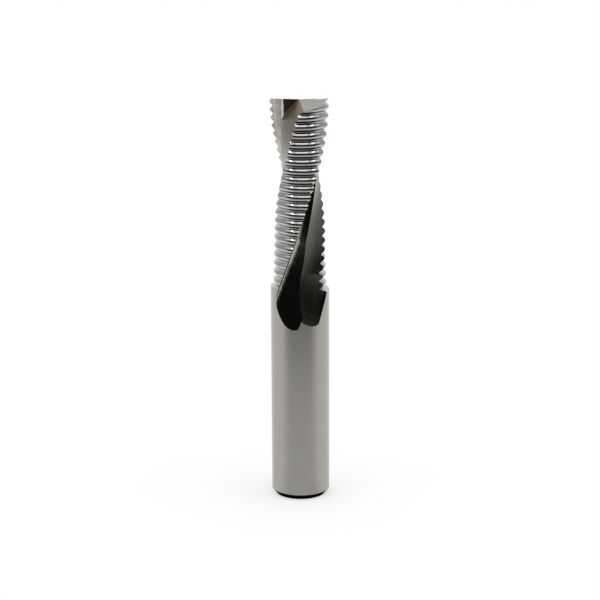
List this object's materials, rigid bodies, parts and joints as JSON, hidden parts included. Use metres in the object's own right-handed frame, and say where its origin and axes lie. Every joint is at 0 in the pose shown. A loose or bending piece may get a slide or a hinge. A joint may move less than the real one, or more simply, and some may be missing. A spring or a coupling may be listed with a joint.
{
  "type": "spiral roughing cutter",
  "caption": "Solid carbide spiral roughing cutter with round chip-breaking ribs on its helical lands and a plain round shank.",
  "frame": {"origin": "centre of the shank's end face, on which the cutter stands", "axes": "+Z along the tool's axis towards the cutting end; +X through the first tooth's corner"},
  "size_m": [0.01, 0.01, 0.07],
  "materials": {
    "carbide": "ground and polished bare metal"
  },
  "bodies": {
    "root": {"roughing_cutter": "carbide"}
  },
  "joints": []
}
